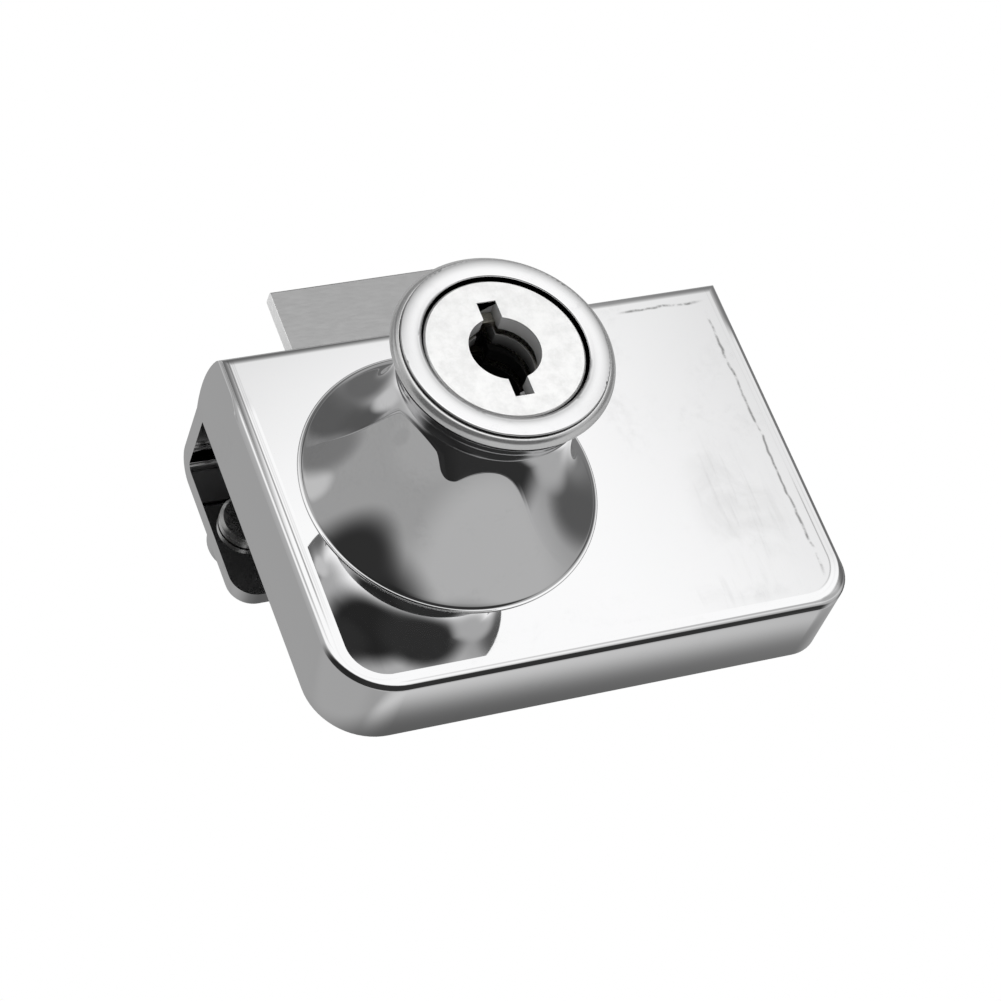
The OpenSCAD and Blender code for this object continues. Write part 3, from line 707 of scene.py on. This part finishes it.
welding = {"made": 0.001, "cad": 0.002, "flatAngle": 0.3}
bodyOf = {node: body for body, members in frame["record"]["behaviour"]["bodies"].items() for node in members}


def addPiece(name, bm, finish, node, rides=True):
    bmesh.ops.remove_doubles(bm, verts=bm.verts, dist=welding["made"] * mm)
    bmesh.ops.recalc_face_normals(bm, faces=bm.faces)
    mesh = bpy.data.meshes.new(name)
    bm.to_mesh(mesh)
    bm.free()
    mesh.shade_smooth()
    mesh.materials.append(finishes[finish])
    piece = bpy.data.objects.new(name, mesh)
    bpy.context.scene.collection.objects.link(piece)
    if rides:
        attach(piece, bodyOf[node])
    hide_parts(node)
    return piece


def breakEdges(piece, width, segments=2, angle=32):
    piece.data.set_sharp_from_angle(angle=radians(angle))
    bevel = piece.modifiers.new("brokenEdges", "BEVEL")
    bevel.width = width * mm
    bevel.segments = segments
    bevel.limit_method = "ANGLE"
    bevel.angle_limit = radians(angle)
    bevel.harden_normals = True
    normals = piece.modifiers.new("evenNormals", "WEIGHTED_NORMAL")
    normals.keep_sharp = True


# a copy of a CAD node as one closed mesh
def copyNode(node):
    bm = bmesh.new()
    bm.from_mesh(frame["nodes"][node].data)
    bmesh.ops.remove_doubles(bm, verts=bm.verts, dist=welding["cad"] * mm)
    bmesh.ops.dissolve_limit(bm, angle_limit=radians(welding["flatAngle"]), verts=bm.verts, edges=bm.edges)
    return bm


# knob

knobShape = {
    "bore": 9.35, "seat": 23.7, "seatRadius": 11.43,
    "lipMiddle": (11.48, 24.4), "lip": 0.8, "lipStart": 0.02, "lipTurn": 93, "lipRise": 1.18,
    "throat": (10.35, 17.4), "headFlare": 13.72,
    "foot": 17.1, "edge": 0.06, "land": 0.1, "landHeight": 0.12, "fillet": 0.6,
    "filletEnd": 36.0, "tries": 20,   # first guess of the fillet's end, and how often it is corrected
    "steps": {"edge": 4, "fillet": 8, "foot": 48, "head": 28, "lip": 24}, "turns": 200,
    "broken": 0.03, "brokenFrom": 40,
}


# draws the arc that starts at the last point, round a middle given as radius and height
def turnArc(bm, last, middle, angle, steps):
    centre = Vector((middle[0] * mm, front - middle[1] * mm, 0))
    spun = bmesh.ops.spin(bm, geom=[last], cent=centre, axis=(0, 0, 1), angle=radians(angle), steps=steps)
    return spun["geom_last"][0]


def turnLine(bm, last, radius, height):
    point = bm.verts.new((radius * mm, front - height * mm, 0))
    bm.edges.new((last, point))
    return point


def spinRound(bm, steps):
    bmesh.ops.spin(bm, geom=bm.verts[:] + bm.edges[:], cent=(0, 0, 0), axis=lockAxis, angle=2 * pi,
                   steps=steps, use_merge=True)


def makeKnob():
    s = knobShape
    steps = s["steps"]
    bm = bmesh.new()
    start = bm.verts.new((s["bore"] * mm, front, 0))
    last = turnLine(bm, start, s["foot"], 0)
    last = turnLine(bm, last, s["foot"], s["landHeight"] - s["edge"])
    last = turnArc(bm, last, (s["foot"] - s["edge"], s["landHeight"] - s["edge"]), -90, steps["edge"])
    inner = s["foot"] - s["edge"] - s["land"]
    last = turnLine(bm, last, inner, s["landHeight"])
    # the fillet turns up until it meets the flare, whose radius and end follow from each other
    low = s["filletEnd"]
    for attempt in range(s["tries"]):
        edge = inner - s["fillet"] * cos(radians(low))
        height = s["landHeight"] + s["fillet"] * (1 - sin(radians(low)))
        rise = s["throat"][1] - height
        run = edge - s["throat"][0]
        radius = (rise ** 2 + run ** 2) / (2 * run)
        low = degrees(atan2(rise, sqrt(radius ** 2 - rise ** 2)))
    last = turnArc(bm, last, (inner, s["landHeight"] + s["fillet"]), 90 - low, steps["fillet"])
    # foot flare up to the throat, then the head flare, both tangent to the axis at the throat
    last = turnArc(bm, last, (s["throat"][0] + radius, s["throat"][1]), low, steps["foot"])
    radius = s["headFlare"]
    rise = s["lipMiddle"][1] - s["throat"][1]
    high = degrees(atan2(rise, sqrt(radius ** 2 - rise ** 2)))
    last = turnArc(bm, last, (s["throat"][0] + radius, s["throat"][1]), high, steps["head"])
    last = turnLine(bm, last, s["lipMiddle"][0] + s["lip"], s["lipMiddle"][1] + s["lipStart"])
    last = turnArc(bm, last, s["lipMiddle"], -s["lipTurn"], steps["lip"])
    # the lip is taller than it is wide
    level = front - s["lipMiddle"][1] * mm
    for point in bm.verts:
        if point.co.y < level:
            point.co.y = level + (point.co.y - level) * s["lipRise"]
    last = turnLine(bm, last, s["seatRadius"], s["seat"])
    last = turnLine(bm, last, s["bore"], s["seat"])
    bm.edges.new((last, start))
    spinRound(bm, s["turns"])
    knob = addPiece("turnedKnob", bm, "knobChrome", "knob")
    breakEdges(knob, s["broken"], 2, s["brokenFrom"])


makeKnob()
print("knob turned")


# barrel, with a flatter front ring and a narrower recess than its CAD node has

barrelShape = {
    "ring": 0.52, "flatter": 0.08, "edge": 0.12,
    "recess": 9.35, "recessDepth": 2.0, "recessSlack": 0.01, "narrower": 0.2,
}


def makeBarrel():
    s = barrelShape
    bm = copyNode("lock_barrel")
    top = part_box("lock_barrel")[0].y
    for point in bm.verts:
        if point.co.y < top + s["ring"] * mm:
            point.co.y = top + (point.co.y - top) * s["flatter"]
        away = Vector((point.co.x, 0, point.co.z))
        atRecess = abs(away.length - s["recess"] * mm) < s["recessSlack"] * mm
        if atRecess and point.co.y < top + s["recessDepth"] * mm:
            away *= 1 - s["narrower"] * mm / away.length
            point.co = (away.x, point.co.y, away.z)
    barrel = addPiece("flangedBarrel", bm, "barrelChrome", "lock_barrel")
    breakEdges(barrel, s["edge"], 4)


makeBarrel()
print("barrel dressed")


# plug, whose head lies a little deeper and fills its recess a little more than in the CAD node

plugShape = {"headEnd": 1.3, "faceEnd": 0.25, "deeper": 0.2, "wider": 0.12, "shank": 8.0, "edge": 0.1}


def makePlug():
    s = plugShape
    bm = copyNode("plug")
    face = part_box("plug")[0].y
    for point in bm.verts:
        if point.co.y > face + s["headEnd"] * mm:
            continue
        away = Vector((point.co.x, 0, point.co.z))
        if away.length > s["shank"] * mm:
            away *= 1 + s["wider"] * mm / away.length
        deeper = s["deeper"] * mm if point.co.y < face + s["faceEnd"] * mm else 0
        point.co = (away.x, point.co.y + deeper, away.z)
    plug = addPiece("keyedPlug", bm, "plugSatin", "plug")
    breakEdges(plug, s["edge"])


makePlug()
print("plug dressed")


# clamp screws: a core with a hex socket, and a thread wound round it

screwShape = {
    "core": 2.05, "sunk": 0.06, "crest": 2.48, "root": 0.37, "flat": 0.06, "pitch": 0.8,
    "tip": 0.55, "start": 0.75, "end": 0.3, "stepsPerTurn": 28, "edge": 0.04,
}


# closes the far end of a wound shape
def closeEnd(bm, wound):
    rim = [part for part in wound["geom_last"] if isinstance(part, bmesh.types.BMEdge)]
    bmesh.ops.contextual_create(bm, geom=rim)


def makeScrew(node, name):
    s = screwShape
    low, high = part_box(node)
    axisX = (low.x + high.x) / 2
    axisZ = (low.z + high.z) / 2
    bm = copyNode(node)
    for point in bm.verts:
        away = Vector((point.co.x - axisX, 0, point.co.z - axisZ))
        if away.length > s["core"] * mm:
            away = away.normalized() * s["core"] * mm
            point.co = (axisX + away.x, point.co.y, axisZ + away.z)
    begin = low.y + (s["tip"] + s["start"]) * mm
    run = high.y - s["end"] * mm - begin
    steps = int(run / (s["pitch"] * mm) * s["stepsPerTurn"])
    foot = s["core"] - s["sunk"]
    ridge = [(foot, -s["root"]), (s["crest"], -s["flat"]), (s["crest"], s["flat"]), (foot, s["root"])]
    corners = [bm.verts.new((axisX + radius * mm, begin + along * mm, axisZ)) for radius, along in ridge]
    cap = bm.faces.new(corners)
    wound = bmesh.ops.spin(bm, geom=corners + cap.edges[:], cent=(axisX, 0, axisZ), axis=lockAxis,
                           angle=2 * pi * steps / s["stepsPerTurn"], steps=steps,
                           dvec=(0, s["pitch"] * mm / s["stepsPerTurn"], 0))
    closeEnd(bm, wound)
    screw = addPiece(name, bm, "zincPlate", node)
    breakEdges(screw, s["edge"], 2, 50)


makeScrew("clamp_screw_left", "leftScrew")
makeScrew("clamp_screw_right", "rightScrew")
print("clamp screws threaded")


# wafer springs, coiled between the plug's pocket and the wafer's ear

springShape = {"wire": 0.1, "coils": 7, "stepsPerTurn": 14, "sides": 8}


def makeSpring(count):
    s = springShape
    node = "wafer_spring_%d" % count
    low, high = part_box(node)
    middle = (low + high) / 2
    outer = (high.x - low.x) / 2
    bm = bmesh.new()
    side = Matrix.Translation((middle.x + outer - s["wire"] * mm, middle.y, low.z + s["wire"] * mm))
    bmesh.ops.create_circle(bm, cap_ends=True, segments=s["sides"], radius=s["wire"] * mm,
                            matrix=side @ Matrix.Rotation(pi / 2, 4, "X"))
    steps = s["coils"] * s["stepsPerTurn"]
    climb = (high.z - low.z - 2 * s["wire"] * mm) / steps
    wound = bmesh.ops.spin(bm, geom=bm.verts[:] + bm.edges[:], cent=middle, axis=(0, 0, 1),
                           angle=2 * pi * s["coils"], steps=steps, dvec=(0, 0, climb))
    closeEnd(bm, wound)
    spring = addPiece("coilSpring%d" % count, bm, "springWire", node, rides=False)
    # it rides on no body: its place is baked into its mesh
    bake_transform(spring)


for count in range(1, 6):
    makeSpring(count)
print("springs coiled")


# pieces that keep the shape of their CAD nodes: name, finish and width of the broken edges

dressed = {
    "housing": ("castHousing", "castChrome", 0.1),
    "bolt": ("flatBolt", "boltSatin", 0.15),
    "back_cover": ("coverPlate", "rolledSheet", 0.12),
    "cover_screws": ("coverScrews", "zincPlate", 0.06),
    "glass_liner": ("rubberLiner", "linerRubber", 0.15),
    "barrel_nut": ("barrelNut", "nickelPlate", 0.2),
    "crank": ("crankDisc", "zincPlate", 0.12),
    "crank_screw": ("crankScrew", "zincPlate", 0.1),
    "pressure_pad_left": ("leftPad", "nickelPlate", 0.12),
    "pressure_pad_right": ("rightPad", "nickelPlate", 0.12),
}
for count in range(1, 6):
    dressed["wafer_%d" % count] = ("stampedWafer%d" % count, "waferBrass", 0.06)
for node, (name, finish, width) in dressed.items():
    breakEdges(addPiece(name, copyNode(node), finish, node), width)
print("CAD nodes dressed")


bpy.context.scene.view_settings.view_transform = "Standard"
